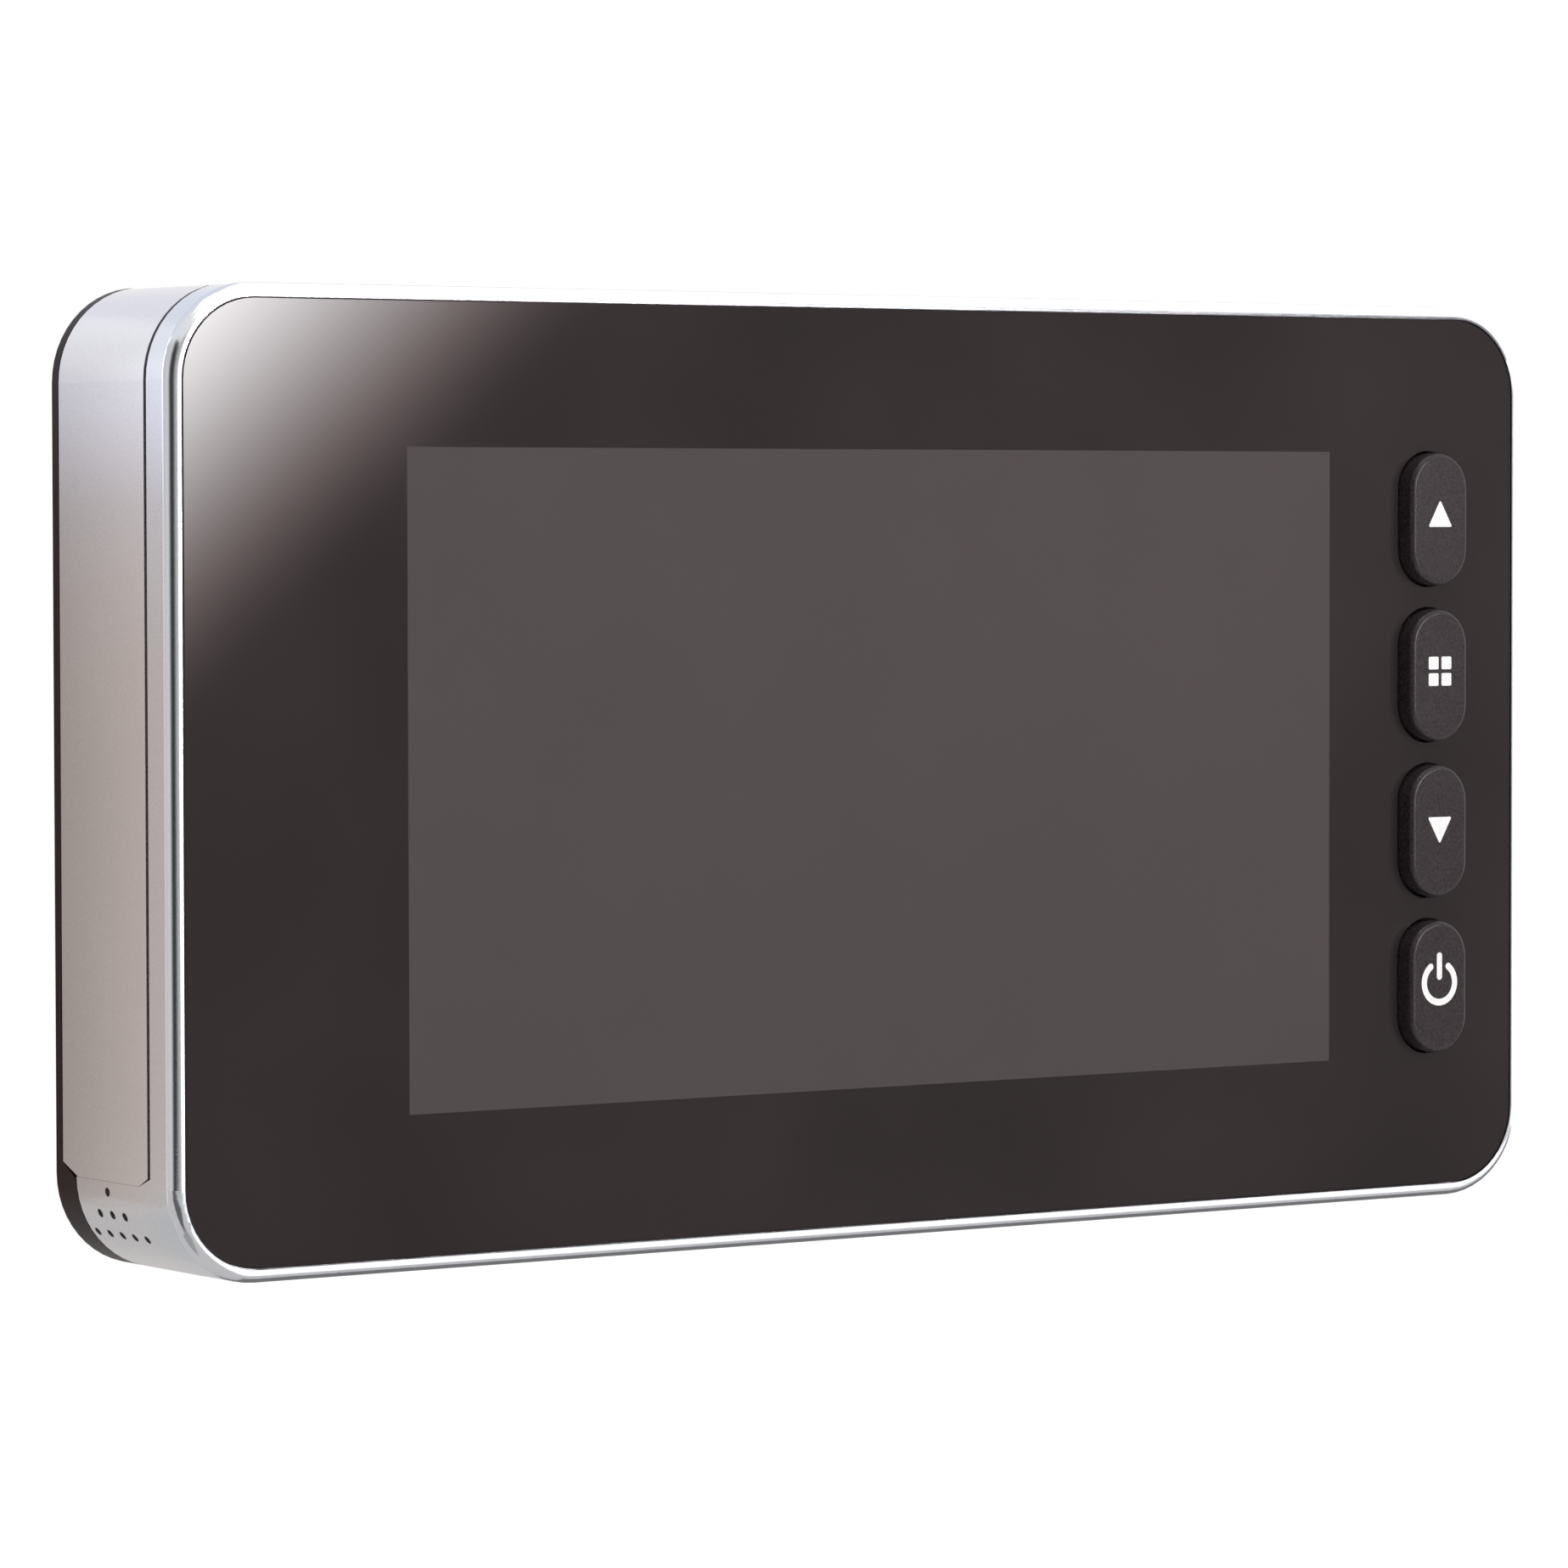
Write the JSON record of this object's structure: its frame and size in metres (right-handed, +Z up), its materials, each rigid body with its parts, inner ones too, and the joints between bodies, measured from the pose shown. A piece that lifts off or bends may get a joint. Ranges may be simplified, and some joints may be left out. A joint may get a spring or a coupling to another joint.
{
  "type": "peephole door camera",
  "caption": "Indoor monitor of a peephole door camera: gloss panel with screen and round-ended keys, silver sliding battery cover, black rear housing hung on a steel door bracket.",
  "frame": {"origin": "centre of the bracket's barrel bore, on the face that lies against the door", "axes": "+X to the user's right along the case, +Y into the door along the barrel, +Z up"},
  "size_m": [0.139, 0.0221, 0.0798],
  "materials": {
    "silver_paint": "satin silver paint on moulded plastic",
    "panel_black": "gloss, black print behind clear acrylic",
    "screen_grey": "gloss, clear acrylic over a dark screen",
    "housing_black": "fine matte texture",
    "button_charcoal": "fine speckled satin",
    "mark_white": "satin",
    "bracket_steel": "zinc plated",
    "screw_steel": "zinc plated",
    "foam_black": "matte foam",
    "pad_rubber": "matte",
    "display_glass": "polished",
    "display_metal": "satin",
    "light_guide": "satin",
    "board_green": "satin solder mask",
    "chip_black": "matte",
    "connector_ivory": "matte",
    "flex_amber": "satin",
    "socket_steel": "satin",
    "contact_nickel": "bright",
    "cell_sleeve": "gloss sleeve",
    "card_plastic": "matte",
    "speaker_plastic": "matte",
    "speaker_paper": "matte",
    "magnet_steel": "satin",
    "tray_plastic": "matte"
  },
  "bodies": {
    "bracket": {"wall_bracket": "bracket_steel"},
    "monitor": {"front_bezel": "silver_paint", "front_panel": "panel_black", "screen_window": "screen_grey", "panel_tape": "foam_black", "lcd_gasket": "foam_black", "lcd_glass": "display_glass", "lcd_backlight": "light_guide", "lcd_frame": "display_metal", "lcd_pads": "foam_black", "lcd_flex": "flex_amber", "lcd_connector": "connector_ivory", "main_board": "board_green", "board_screws": "screw_steel", "shield_can": "display_metal", "board_chips": "chip_black", "camera_connector": "connector_ivory", "usb_socket": "socket_steel", "card_socket": "socket_steel", "microphone": "display_metal", "microphone_boot": "pad_rubber", "speaker_frame": "speaker_plastic", "speaker_cone": "speaker_paper", "speaker_magnet": "magnet_steel", "button_board": "board_green", "switch_bodies": "chip_black", "rear_housing": "housing_black", "case_screws": "screw_steel", "rear_pads": "pad_rubber", "left_battery_tray": "tray_plastic", "left_battery_contacts": "contact_nickel", "left_outer_cell": "cell_sleeve", "left_inner_cell": "cell_sleeve", "right_battery_tray": "tray_plastic", "right_battery_contacts": "contact_nickel", "right_outer_cell": "cell_sleeve", "right_inner_cell": "cell_sleeve"},
    "battery_cover": {"battery_cover": "silver_paint"},
    "memory_card": {"memory_card": "card_plastic"},
    "up_button": {"up_button": "button_charcoal", "up_stem": "connector_ivory", "up_inlay": "mark_white"},
    "menu_button": {"menu_button": "button_charcoal", "menu_stem": "connector_ivory", "menu_inlay": "mark_white"},
    "down_button": {"down_button": "button_charcoal", "down_stem": "connector_ivory", "down_inlay": "mark_white"},
    "power_button": {"power_button": "button_charcoal", "power_stem": "connector_ivory", "power_inlay": "mark_white"}
  },
  "joints": [
    {"name": "monitor_lift", "type": "slide", "parent": "bracket", "child": "monitor", "axis": [0, 0, 1], "range_m": [0, 0.0065]},
    {"name": "cover_slide", "type": "slide", "parent": "monitor", "child": "battery_cover", "axis": [0, 0, 1], "range_m": [0, 0.08]},
    {"name": "card_slide", "type": "slide", "parent": "monitor", "child": "memory_card", "axis": [0, 0, -1], "range_m": [0, 0.0165]},
    {"name": "up_press", "type": "slide", "parent": "monitor", "child": "up_button", "axis": [0, 1, 0], "range_m": [0, 0.0005], "stiffness_N_per_m": 1600, "springref_m": -0.0005},
    {"name": "menu_press", "type": "slide", "parent": "monitor", "child": "menu_button", "axis": [0, 1, 0], "range_m": [0, 0.0005], "stiffness_N_per_m": 1600, "springref_m": -0.0005},
    {"name": "down_press", "type": "slide", "parent": "monitor", "child": "down_button", "axis": [0, 1, 0], "range_m": [0, 0.0005], "stiffness_N_per_m": 1600, "springref_m": -0.0005},
    {"name": "power_press", "type": "slide", "parent": "monitor", "child": "power_button", "axis": [0, 1, 0], "range_m": [0, 0.0005], "stiffness_N_per_m": 1600, "springref_m": -0.0005}
  ]
}
